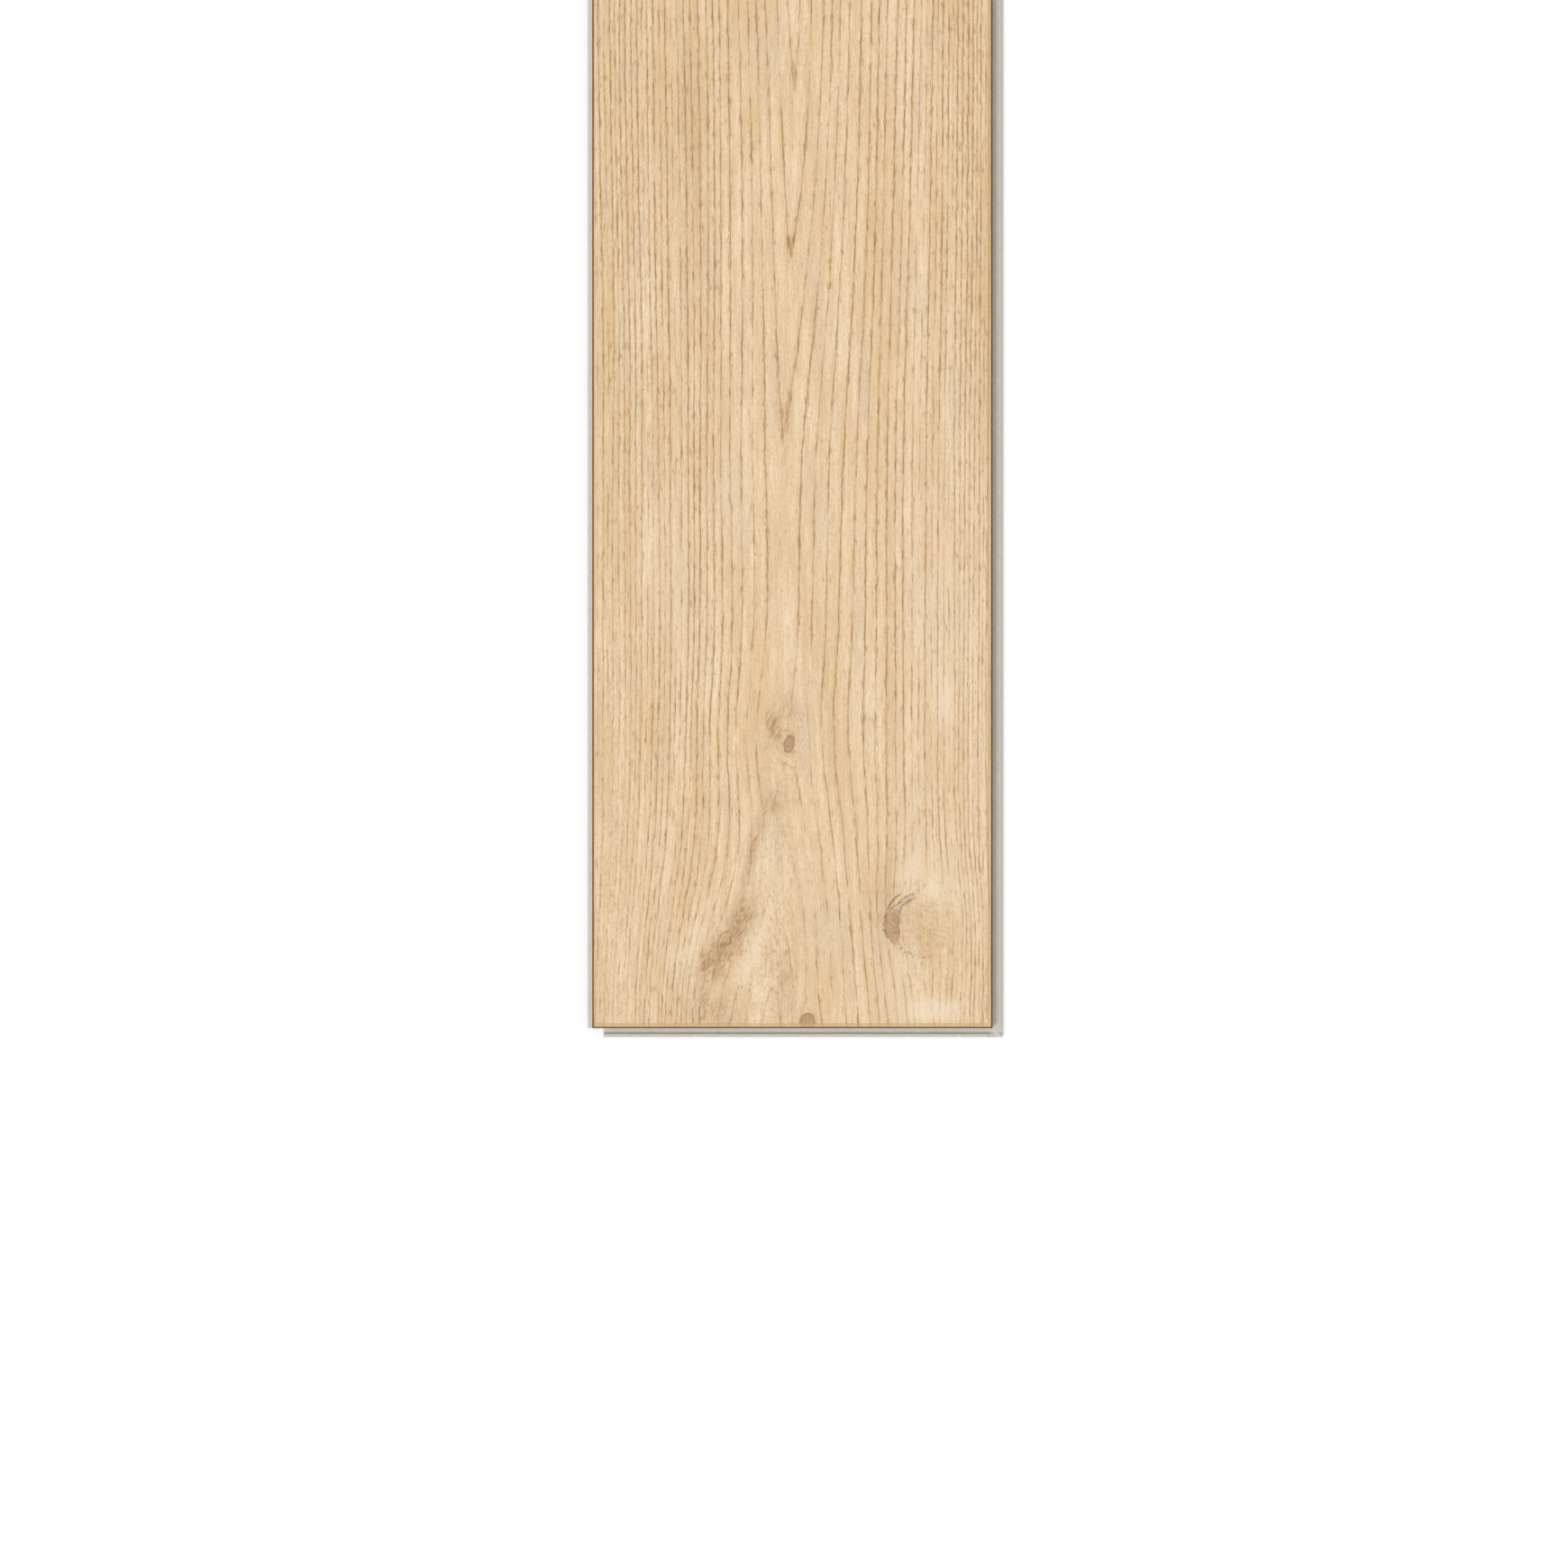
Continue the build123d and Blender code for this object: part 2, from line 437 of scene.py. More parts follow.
def split_rim(bm, columns, rows):
    """Divides the open rim of the body where the face's mesh will meet it."""
    for edge in [e for e in bm.edges if e.is_boundary]:
        start, end = edge.verts
        axis = 0 if abs(start.co.x - end.co.x) > abs(start.co.y - end.co.y) else 1
        low, high = sorted((start.co[axis], end.co[axis]))
        low, high = low + LEVEL_SLACK / 2, high - LEVEL_SLACK / 2
        inner = sorted(value for value in (columns, rows)[axis] if low < value < high)
        if start.co[axis] > end.co[axis]:
            inner.reverse()
        for value in inner:
            fraction = (value - start.co[axis]) / (end.co[axis] - start.co[axis])
            start = bmesh.utils.edge_split(edge, start, fraction)[1]
            edge = next(e for e in start.link_edges if end in e.verts)


def add_face(bm, lines, columns, rows):
    """Grid over the walking face, shaped over its bevels, with its rim on the body's rim."""
    made = bmesh.ops.create_grid(bm, x_segments=len(columns) - 1, y_segments=len(rows) - 1, size=1)
    for vert in made["verts"]:
        column = round((vert.co.x + 1) / 2 * (len(columns) - 1))
        row = round((vert.co.y + 1) / 2 * (len(rows) - 1))
        x, y = columns[column], rows[row]
        vert.co = (x, y, face_height(lines, x, y))
    return made["verts"]


def write_grain(bm, lines, verts):
    """Gives every vertex of the face its grain, and returns how deep the embossing is there."""
    grain, fibre, figure = (bm.verts.layers.float_vector[name] for name in ("grain", "fibre", "figure"))
    depths = []
    for vert in verts:
        across, along = vert.co.x / MM, (vert.co.y - lines.low.y) / MM
        stain, pale, calm = (cover(blots, across, along) for blots in (STAINS, PALES, CALMS))
        count, spacing, darkness = grain_at(across, along, calm)
        vert[grain] = (count, spacing, darkness * (1 - PALE_FADE * pale))
        vert[fibre] = (fibre_across(across, along), along, 0)
        vert[figure] = (stain, pale, calm)
        from_line = (count - floor(count) - 0.5) * spacing
        depths.append(darkness * bell(from_line, 0, GROOVE_REACH))
    return depths


def emboss(lines, verts, depths, relief):
    """Presses the ring lines into the flat of the face, and fades them out towards its bevels."""
    for vert, depth in zip(verts, depths):
        inside = min(
            vert.co.x - lines.flat_low.x,
            lines.flat_high.x - vert.co.x,
            vert.co.y - lines.flat_low.y,
            lines.flat_high.y - vert.co.y,
        )
        if inside > 0:
            vert.co.z -= relief * depth * min(1, inside / EMBOSS_FADE)


DECOR_SLOT, BEVEL_SLOT, CORE_SLOT, UNDERSIDE_SLOT = range(4)


def finish_slot(face, lines):
    """Material slot of a face of the plank."""
    centre = face.calc_center_median()
    if centre.z < lines.butt_height - POINT_SLACK or abs(face.normal.z) < UPRIGHT_NORMAL:
        down = face.normal.z < -LEVEL_NORMAL and is_at(centre.z, 0)
        return UNDERSIDE_SLOT if down else CORE_SLOT
    flat_across = lines.flat_low.x < centre.x < lines.pressed_right
    flat_along = lines.pressed_front < centre.y < lines.flat_high.y
    return DECOR_SLOT if flat_across and flat_along else BEVEL_SLOT


# The square map that the plank's looks are laid out on, in its own pixels and in pixels to a metre

MAP_PIXELS = 1024
MAP_GAP = 2.5
FACE_ALONG, FACE_ACROSS = 1640, 1500
BACK_ALONG, BACK_ACROSS = 800, 600
FLANK_ALONG, FLANK_ACROSS = 800, 1900

# What lies this near to an end, inside its butt line, is laid out with the end
STRIP_END_DEPTH = 1 * MM
DROP_END_DEPTH = 6.2 * MM

Patch = namedtuple("Patch", "looks at axis_along axis_across pixels_along pixels_across")
Box = namedtuple("Box", "left right bottom top")


def patch_of(face, lines):
    """Patch of the map that a face goes in. A patch holds what looks one way at one edge."""
    centre, normal = face.calc_center_median(), face.normal
    if face.material_index in (DECOR_SLOT, BEVEL_SLOT):
        return Patch("face", centre.y > 0, 1, 0, FACE_ALONG, FACE_ACROSS)
    if face.material_index == UNDERSIDE_SLOT:
        return Patch("back", False, 1, 0, BACK_ALONG, BACK_ACROSS)
    axis = max(range(3), key=lambda i: abs(normal[i]))
    looks = (axis, normal[axis] > 0)
    at_end = not lines.low.y + STRIP_END_DEPTH < centre.y < lines.high.y - DROP_END_DEPTH
    if axis == 1 or (axis == 2 and at_end):
        return Patch(looks, centre.y > 0, 0, 2 if axis == 1 else 1, FLANK_ALONG, FLANK_ACROSS)
    return Patch(looks, centre.x > 0, 1, 2 if axis == 0 else 0, FLANK_ALONG, FLANK_ACROSS)


def box_of(faces, patch):
    """Box round some faces on their patch, in pixels."""
    along = [v.co[patch.axis_along] * patch.pixels_along for f in faces for v in f.verts]
    across = [v.co[patch.axis_across] * patch.pixels_across for f in faces for v in f.verts]
    return Box(min(along), max(along), min(across), max(across))


def are_apart(box, other):
    """Whether two boxes on the map lie beside each other, or only touch."""
    slack = 0.02
    return (
        box.right < other.left + slack or other.right < box.left + slack
        or box.top < other.bottom + slack or other.top < box.bottom + slack
    )


def tall_and_wide(box):
    return box.top - box.bottom, box.right - box.left


def sheets_of(faces, patch):
    """Shares out the faces of a patch so that in a sheet none lies over another."""
    if patch.looks in ("face", "back"):
        return [faces]
    sheets = []
    for face in faces:
        box = box_of([face], patch)
        for sheet, laid in sheets:
            if all(are_apart(box, other) for other in laid):
                break
        else:
            sheet, laid = [], []
            sheets.append((sheet, laid))
        sheet.append(face)
        laid.append(box)
    return [sheet for sheet, laid in sheets]


def lay_out(bm, lines):
    """Lays the plank out on its own UV map, in rows from the tallest sheet down."""
    uv = bm.loops.layers.uv.new("OFBake")
    patches = {}
    for face in bm.faces:
        patches.setdefault(patch_of(face, lines), []).append(face)
    sheets = [
        (box_of(sheet, patch), sheet, patch)
        for patch, faces in patches.items() for sheet in sheets_of(faces, patch)
    ]
    sheets.sort(key=lambda sheet: tall_and_wide(sheet[0]), reverse=True)
    right, bottom, row_top = MAP_GAP, MAP_GAP, MAP_GAP
    for box, faces, patch in sheets:
        if right + box.right - box.left > MAP_PIXELS - MAP_GAP:
            right, bottom = MAP_GAP, row_top + MAP_GAP
        for face in faces:
            for loop in face.loops:
                along = loop.vert.co[patch.axis_along] * patch.pixels_along - box.left
                across = loop.vert.co[patch.axis_across] * patch.pixels_across - box.bottom
                loop[uv].uv = ((right + along) / MAP_PIXELS, (bottom + across) / MAP_PIXELS)
        right += box.right - box.left + MAP_GAP
        row_top = max(row_top, bottom + box.top - box.bottom)
    if row_top > MAP_PIXELS:
        raise RuntimeError("the plank's UV map doesn't fit its square")


def plank_mesh(settings):
    """Closed mesh of the plank: the CAD plank's joints and underside under an embossed face."""
    bm, lines = open_body()
    columns = column_lines(lines, settings.columns)
    rows = row_lines(lines, settings.row_step, settings.close_row_step)
    split_rim(bm, columns, rows)
    verts = add_face(bm, lines, columns, rows)
    depths = write_grain(bm, lines, verts)
    emboss(lines, verts, depths, settings.relief)
    rim = [v for v in bm.verts if v.is_boundary]
    bmesh.ops.remove_doubles(bm, verts=rim, dist=RIM_SLACK)
    bmesh.ops.recalc_face_normals(bm, faces=bm.faces)
    for face in bm.faces:
        face.material_index = finish_slot(face, lines)
        face.smooth = face.material_index == DECOR_SLOT
    for edge in bm.edges:
        slots = {face.material_index for face in edge.link_faces}
        edge.smooth = slots == {DECOR_SLOT}
    lay_out(bm, lines)
    if not all(edge.is_manifold for edge in bm.edges):
        raise RuntimeError("the dressed plank's mesh isn't closed")
    mesh = bpy.data.meshes.new("dressed_plank")
    bm.to_mesh(mesh)
    bm.free()
    return mesh, lines


# Shader trees. Noise is scaled in waves to a millimetre, with fewer along the grain than across it,
# so that it is drawn out along the fibre. Masks go from 0 to 1.

# What goes through a node group's socket of this name. Through all others it is a number.
SOCKET_KINDS = {"Base": "Color", "Speck": "Color", "Colour": "Color"}
SOCKET_KINDS.update(dict.fromkeys(("Grain", "Fibre", "Place", "Centre", "Turn", "Half size"), "Vector"))

# Millimetres to a ring where the rings are crowded, and where they have room
CROWDED, ROOMY = 1.5, 6

# Where the parts of the bark pocket rise and fall, in radians round its middle
POCKET_BODY = ((-1.2, -1.05), (0.55, 0.95))
POCKET_BULGE = ((-0.6, -0.1), (0.3, 0.9))
POCKET_ARC = ((-0.85, -0.75), (-0.3, -0.15))
POCKET_TAIL = ((0.7, 0.9), (1.9, 2.3))
POCKET_THIN = (-0.45, -0.15)

# Depth of the marks that milling and sanding leave in the core
CORE_MARK_DEPTH = 0.05 * MM


def opaque(tint):
    return tint[:] + (1,)


def about_z(turn):
    return 0, 0, radians(turn)


class Net:
    """Adds nodes to a shader tree, joins them, and gives what they make to its end sockets."""

    def __init__(self, tree, ends):
        self.nodes, self.links, self.ends = tree.nodes, tree.links, ends

    def feed(self, socket, value):
        if isinstance(value, bpy.types.NodeSocket):
            self.links.new(value, socket)
        else:
            socket.default_value = value

    def give(self, name, value):
        self.feed(self.ends[name], value)

    def add(self, kind, sockets=None, **settings):
        node = self.nodes.new("ShaderNode" + kind)
        for name, value in settings.items():
            setattr(node, name, value)
        for key, value in (sockets or {}).items():
            self.feed(node.inputs[key], value)
        return node

    def math(self, operation, first, second=0, third=0):
        return self.add("Math", {0: first, 1: second, 2: third}, operation=operation).outputs[0]

    def less(self, first, second):
        return self.math("SUBTRACT", first, second)

    def stretched(self, value, factor, start):
        return self.math("MULTIPLY_ADD", value, factor, start)

    def times(self, first, second):
        return self.math("MULTIPLY", first, second)

    def larger(self, first, second):
        return self.math("MAXIMUM", first, second)

    def vector_math(self, operation, *vectors):
        return self.add("VectorMath", dict(enumerate(vectors)), operation=operation).outputs

    def scaled(self, vector, across, along, up=1):
        return self.vector_math("MULTIPLY", vector, (across, along, up))[0]

    def shifted(self, vector, across, along):
        return self.vector_math("ADD", vector, (across, along, 0))[0]

    def length(self, vector):
        return self.vector_math("LENGTH", vector)["Value"]

    def split(self, vector):
        return self.add("SeparateXYZ", {0: vector}).outputs

    def join(self, x, y):
        return self.add("CombineXYZ", {0: x, 1: y}).outputs[0]

    def fade(self, value, low, high, start=0, end=1):
        """Smooth step from start at low to end at high."""
        sockets = {"Value": value, "From Min": low, "From Max": high, "To Min": start, "To Max": end}
        return self.add("MapRange", sockets, interpolation_type="SMOOTHSTEP").outputs["Result"]

    def gone(self, value, low, high):
        """Mask that is full up to low and gone beyond high."""
        return self.fade(value, low, high, 1, 0)

    def near(self, value, inner, outer):
        """Mask that is full within inner of zero, to either side, and gone beyond outer."""
        return self.gone(self.math("ABSOLUTE", value), inner, outer)

    def window(self, value, rise, fall):
        """Mask that rises between one pair of values and falls between another."""
        return self.times(self.fade(value, *rise), self.gone(value, *fall))

    def noise(self, vector, scale=1, detail=2, roughness=0.5):
        sockets = {"Vector": vector, "Scale": scale, "Detail": detail, "Roughness": roughness}
        return self.add("TexNoise", sockets).outputs[0]

    def blend(self, factor, first, second):
        return self.add("Mix", {0: factor, 6: first, 7: second}, data_type="RGBA").outputs[2]

    def layered(self, under, layers):
        """Colour with tints laid over it in turn, each by its mask and its strength."""
        for mask, weight, tint in layers:
            under = self.blend(self.times(mask, weight), under, opaque(tint))
        return under

    def attribute(self, name):
        return self.add("Attribute", attribute_name=name).outputs["Vector"]

    def place_mm(self):
        """Object coordinates in millimetres."""
        place = self.add("TexCoord").outputs["Object"]
        return self.scaled(place, 1000, 1000, 1000)

    def local(self, place, **spot):
        """Place as it is seen from a spot with its own Location, Rotation or Scale."""
        return self.add("Mapping", {"Vector": place, **spot}, vector_type="TEXTURE").outputs[0]

    def bump(self, height, depth, weight):
        sockets = {"Height": height, "Distance": depth, "Strength": weight}
        return self.add("Bump", sockets).outputs[0]

    def effect(self, name, **sockets):
        """Places a node group and feeds its inputs, whose names have spaces for underscores."""
        node = self.add("Group", node_tree=bpy.data.node_groups[name])
        for key, value in sockets.items():
            self.feed(node.inputs[key.replace("_", " ").capitalize()], value)
        return node.outputs


def start_group(name, inputs, outputs):
    """Net of a new node group with these sockets, and what comes in."""
    tree = bpy.data.node_groups.new(name, "ShaderNodeTree")
    for way, labels in (("INPUT", inputs), ("OUTPUT", outputs)):
        for label in labels:
            kind = "NodeSocket" + SOCKET_KINDS.get(label, "Float")
            tree.interface.new_socket(name=label, in_out=way, socket_type=kind)
    source = tree.nodes.new("NodeGroupInput")
    sink = tree.nodes.new("NodeGroupOutput")
    return Net(tree, sink.inputs), source.outputs


def make_ring_group():
    """Soft lines of the growth rings and the dark dashes on them, with a tone for each ring."""
    net, given = start_group("Growth rings", ("Grain", "Fibre"), ("Line", "Dash", "Halo", "Tone"))
    fibre = given["Fibre"]
    count, spacing, darkness = net.split(given["Grain"])
    phase = net.less(net.math("FRACT", count), 0.5)
    ragged = net.less(net.noise(net.scaled(fibre, 0.6, 0.12)), 0.5)
    sway = net.times(ragged, net.fade(spacing, CROWDED, ROOMY, 0.7, 1.3))
    distance = net.math("ABSOLUTE", net.math("ADD", sway, net.times(phase, spacing)))
    width = net.stretched(net.noise(net.scaled(fibre, 0.9, 0.07)), 0.9, 0.3)
    width = net.times(width, net.fade(spacing, CROWDED, ROOMY, 0.75, 1))
    line = net.gone(net.math("DIVIDE", distance, width), 0.1, 1)
    dashes = net.noise(net.scaled(net.shifted(fibre, 17, 3), 0.55, 0.085))
    dashes = net.times(net.fade(dashes, 0.45, 0.62), net.math("SQRT", darkness))
    net.give("Line", net.times(line, darkness))
    net.give("Dash", net.times(net.gone(distance, 0.1, 0.45), dashes))
    net.give("Halo", net.times(net.gone(distance, 0.2, 2.2), darkness))
    net.give("Tone", net.noise(net.scaled(net.join(count, 0), 0.9, 1), 1, 1))


def make_pore_group():
    """Open pores of the oak, with finer hairs and flecks between them, and strokes where it is calm."""
    net, given = start_group(
        "Oak pores", ("Fibre", "Nearness", "Shortness"), ("Pores", "Hairs", "Flecks", "Strokes")
    )
    fibre = given["Fibre"]
    broad = net.noise(net.scaled(fibre, 1.15, 0.15), 1, 2, 0.6)
    bar = net.stretched(given["Nearness"], -0.12, 0.63)
    hairs = net.noise(net.scaled(net.shifted(fibre, 31, 7), 1.5, 0.085), 1, 4, 0.7)
    strokes = net.noise(net.scaled(net.shifted(fibre, 5, 59), 0.8, 0.22), 1, 3, 0.6)
    flecks = net.noise(net.scaled(net.shifted(fibre, 67, 23), 1.5, 0.5), 1, 2, 0.6)
    net.give("Pores", net.fade(net.less(broad, bar), 0, 0.1))
    net.give("Hairs", net.fade(hairs, 0.36, 0.68))
    net.give("Flecks", net.fade(flecks, 0.42, 0.66))
    net.give("Strokes", net.times(net.fade(strokes, 0.5, 0.68), given["Shortness"]))


def make_hatch_group():
    """Short strokes of a disturbed patch, a little bent and at a turn of their own."""
    net, given = start_group("Hatched grain", ("Place", "Turn", "Amount"), ("Strokes",))
    local = net.local(given["Place"], Rotation=given["Turn"])
    bend = net.times(net.noise(net.scaled(given["Place"], 0.16, 0.16), 1, 1), 5)
    local = net.vector_math("ADD", local, net.join(bend, 0))[0]
    strokes = net.noise(net.scaled(local, 0.72, 0.13), 1, 4, 0.7)
    net.give("Strokes", net.times(net.fade(strokes, 0.5, 0.6), given["Amount"]))


def make_knot_group():
    """Masks of an oval knot: its body and rim, its rings and spots, and the shade beside it."""
    net, given = start_group(
        "Knot", ("Place", "Centre", "Turn", "Half size"), ("Body", "Rim", "Spots", "Shade")
    )
    place = given["Place"]
    local = net.local(place, Location=given["Centre"], Rotation=given["Turn"], Scale=given["Half size"])
    ragged = net.less(net.noise(net.scaled(place, 0.5, 0.35)), 0.5)
    radius = net.stretched(ragged, 0.5, net.length(local))
    spots = net.fade(net.noise(net.shifted(place, 3, 8), 0.75), 0.5, 0.66, 0, 0.8)
    rings = net.fade(net.math("PINGPONG", radius, 0.14), 0.02, 0.09, 0.45, 0)
    net.give("Body", net.gone(radius, 0.75, 1.05))
    net.give("Rim", net.near(net.less(radius, 0.88), 0.04, 0.26))
    net.give("Spots", net.times(net.larger(spots, rings), net.gone(radius, 0.5, 0.8)))
    net.give("Shade", net.gone(radius, 0.9, 2.4))


def make_pocket_group():
    """Masks of a bark pocket: a crescent bent round a centre, dotted in its thin half."""
    net, given = start_group(
        "Bark pocket", ("Place", "Centre", "Turn", "Radius"), ("Body", "Edge", "Dots", "Spots", "Disc")
    )
    place, disc_radius = given["Place"], given["Radius"]
    local = net.local(place, Location=given["Centre"], Rotation=given["Turn"])
    radius = net.length(local)
    x, y, z = net.split(local)
    angle = net.math("ARCTAN2", y, x)
    ragged = net.less(net.noise(net.scaled(place, 0.35, 0.35), 1, 4, 0.6), 0.5)
    beyond = net.less(radius, disc_radius)
    bent = net.stretched(ragged, 4.6, beyond)
    half_width = net.stretched(net.window(angle, *POCKET_BULGE), 2.5, 1.5)
    side = net.math("DIVIDE", net.math("ABSOLUTE", bent), half_width)
    round_it = net.window(angle, *POCKET_BODY)
    body = net.times(net.gone(side, 0.7, 1.2), round_it)
    thin = net.gone(angle, *POCKET_THIN)

    worn = net.fade(net.noise(net.shifted(place, 41, 5), 0.6, 3), 0.4, 0.55)
    outline = net.near(net.less(side, 0.95), 0.05, 0.4)
    outline = net.times(net.times(outline, net.larger(thin, worn)), round_it)
    from_arc = net.less(net.stretched(ragged, 1.6, beyond), 4.6)
    arc = net.times(net.near(from_arc, 0.2, 0.8), net.window(angle, *POCKET_ARC))
    tail = net.times(net.near(bent, 0.4, 1.4), net.window(angle, *POCKET_TAIL))
    broken = net.fade(net.noise(net.shifted(place, 7, 77), 0.42, 2), 0.48, 0.6)
    tail = net.times(net.times(tail, broken), 0.7)

    cells = net.add("TexVoronoi", {"Vector": place, "Scale": 0.95}).outputs["Distance"]
    dots = net.times(net.fade(cells, 0.3, 0.5), thin)
    spots = net.fade(net.noise(net.shifted(place, 13, 18), 0.5, 3), 0.47, 0.6)
    inner = net.fade(net.math("DIVIDE", bent, half_width), -0.7, 0.5, 1, 0.35)
    net.give("Disc", net.gone(net.math("DIVIDE", radius, disc_radius), 0.7, 1.3))
    net.give("Body", body)
    net.give("Edge", net.larger(net.larger(outline, arc), tail))
    net.give("Dots", net.times(dots, body))
    net.give("Spots", net.times(net.times(spots, inner), body))


def make_dust_group():
    """Fine speckle of stone powder in the rigid core, with a height for its sawn grain."""
    net, given = start_group("Stone dust", ("Place", "Base", "Speck"), ("Colour", "Height"))
    fine = net.noise(given["Place"], 2.2, 3, 0.7)
    coarse = net.noise(given["Place"], 0.35, 2, 0.5)
    specks = net.stretched(coarse, 0.5, net.fade(fine, 0.42, 0.72, 0, 0.55))
    net.give("Colour", net.blend(specks, given["Base"], given["Speck"]))
    net.give("Height", fine)


GROUP_MAKERS = (
    make_ring_group,
    make_pore_group,
    make_hatch_group,
    make_knot_group,
    make_pocket_group,
    make_dust_group,
)


def stone_dust(net, settings, place):
    """Colour and height of the core, wherever it is bare."""
    base, speck = opaque(settings.core), opaque(settings.core_speck)
    return net.effect("Stone dust", place=place, base=base, speck=speck)


def start_material(name):
    """New material, and its net, which ends in the Principled shader."""
    material = bpy.data.materials.new(name)
    material.use_nodes = True
    tree = material.node_tree
    return material, Net(tree, tree.nodes["Principled BSDF"].inputs)


def oak_tones(net, settings, fibre, ring_tone):
    """Pale and dark wood in long soft streaks, a little different from ring to ring."""
    broad = net.noise(net.scaled(fibre, 0.05, 0.008), 1, 3, 0.55)
    streaks = net.noise(net.scaled(fibre, 0.38, 0.016), 1, 3, 0.6)
    tone = net.stretched(broad, 0.44, net.times(streaks, 0.42))
    tone = net.fade(net.stretched(ring_tone, 0.2, tone), 0.385, 0.69)
    wood = net.blend(tone, opaque(settings.dark_wood), opaque(settings.light_wood))
    grey = net.noise(net.scaled(net.shifted(fibre, 90, 40), 0.09, 0.016), 1, 3)
    return net.layered(wood, [(net.fade(grey, 0.5, 0.72), 0.7, settings.grey_wood)])


def lay_grain(net, settings, wood, place, fibre, rings, pocket):
    """Lays hairs, stains, strokes, ring lines and pores over the wood, and says where it is hollow."""
    stain, pale, calm = net.split(net.attribute("figure"))
    shortness = net.larger(stain, calm)
    pores = net.effect("Oak pores", fibre=fibre, nearness=rings["Halo"], shortness=shortness)
    faint = net.stretched(pale, -0.65, 1)
    cloudy = net.noise(net.scaled(fibre, 0.3, 0.12), 1, 3, 0.6)
    stained = net.times(stain, net.fade(cloudy, 0.3, 0.62, 0.5, 1.15))
    smooth = net.larger(pale, net.times(pocket["Disc"], 0.8))
    strokes = net.times(pores["Strokes"], net.stretched(stained, 0.25, 0.42))
    strokes = net.times(strokes, net.stretched(smooth, -0.75, 1))
    streak = net.effect(
        "Hatched grain", place=place, turn=about_z(STREAK_TURN), amount=net.fade(stain, 0.3, 0.75)
    )
    curls = net.effect("Hatched grain", place=place, turn=about_z(CURL_TURN), amount=pocket["Disc"])
    wood = net.layered(wood, [
        (pale, 0.85, settings.pale_wood),
        (net.times(pores["Hairs"], faint), 0.42, settings.soft_line),
        (net.times(pores["Flecks"], faint), 0.3, settings.soft_line),
        (stained, 0.75, settings.stain),
        (rings["Halo"], 0.12, settings.soft_line),
        (strokes, 1, settings.pore),
        (streak["Strokes"], 0.8, settings.pore),
        (curls["Strokes"], 0.4, settings.soft_line),
        (rings["Line"], 0.92, settings.soft_line),
        (pores["Pores"], 0.55, settings.pore),
        (rings["Dash"], 0.8, settings.pore),
    ])
    return wood, net.larger(rings["Dash"], net.times(pores["Pores"], 0.7))


def lay_knots(net, settings, wood, hollow, place, front, pocket):
    """Lays the knots and the bark pocket over the wood. Their rims are hollow too."""
    for knot in SPOT_KNOTS:
        masks = net.effect(
            "Knot", place=place, centre=(knot.across, knot.along + front, 0),
            turn=about_z(knot.turn), half_size=(knot.half_width, knot.half_length, 1),
        )
        wood = net.layered(wood, [
            (masks["Shade"], 0.2, settings.soft_line),
            (masks["Body"], 0.85, settings.knot),
            (masks["Spots"], 0.75, settings.knot_spot),
            (masks["Rim"], 0.7, settings.knot_rim),
        ])
        hollow = net.larger(hollow, net.times(masks["Rim"], 0.6))
    wood = net.layered(wood, [
        (pocket["Body"], 0.8, settings.knot),
        (pocket["Spots"], 0.9, settings.knot_rim),
        (pocket["Dots"], 0.8, settings.speck),
        (pocket["Edge"], 0.9, settings.knot_rim),
    ])
    return wood, net.larger(hollow, net.times(pocket["Edge"], 0.7))


def lay_edge_shade(net, settings, wood, place, lines):
    """Paints shade on the pressed strips, a darker painted-shade line where they fold down from the
    flat, and painted shade on the face beside the bevel on the tongue side.
    """
    x, y, z = net.split(place)
    past_side = net.less(x, lines.flat_high.x / MM)
    past_end = net.less(lines.flat_low.y / MM, y)
    beyond = net.larger(past_side, past_end)
    inside = net.less(x, lines.flat_low.x / MM)
    return net.layered(wood, [
        # Painted shade: the pressed strips are darkened for their slope
        (net.fade(beyond, 0.2, 0.6), 0.6, settings.pressed_strip_shade),
        # Painted shade: a darker line where the pressed strips fold down from the flat
        (net.near(beyond, 0.1, 0.6), 0.75, settings.crease_shade),
        # Painted shade: the face darkens beside the bevel on the tongue side
        (net.gone(inside, 0.1, 1.3), 0.45, settings.crease_shade),
    ])


def make_decor(settings, lines):
    """Oak decor film: tones along the fibre, ring lines, pores, knots, and painted shade along its
    edges.
    """
    material, net = start_material("Oak decor")
    place = net.place_mm()
    flat_place = net.scaled(place, 1, 1, 0)
    front = lines.low.y / MM
    fibre = net.attribute("fibre")
    rings = net.effect("Growth rings", grain=net.attribute("grain"), fibre=fibre)
    pocket = net.effect(
        "Bark pocket", place=flat_place, centre=(ROUND_KNOT.across, ROUND_KNOT.along + front, 0),
        turn=about_z(POCKET_TURN), radius=ROUND_KNOT.half_width,
    )
    wood = oak_tones(net, settings, fibre, rings["Tone"])
    wood, hollow = lay_grain(net, settings, wood, flat_place, fibre, rings, pocket)
    wood, hollow = lay_knots(net, settings, wood, hollow, flat_place, front, pocket)
    wood = lay_edge_shade(net, settings, wood, place, lines)
    net.give("Base Color", wood)
    net.give("Roughness", net.stretched(hollow, 0.2, 0.52))
    net.give("Normal", net.bump(net.times(hollow, -1), settings.pore_depth, 1))
    return material


def make_bevel(settings):
    """Brown paint of the bevels, rubbed a little paler in places."""
    material, net = start_material("Bevel paint")
    worn = net.fade(net.noise(net.place_mm(), 0.22, 4, 0.6), 0.45, 0.8)
    brown = net.blend(worn, opaque(settings.bevel_paint), opaque(settings.bevel_worn))
    net.give("Base Color", brown)
    net.give("Roughness", net.stretched(worn, 0.2, 0.6))
    net.give("Specular IOR Level", 0.2)
    return material


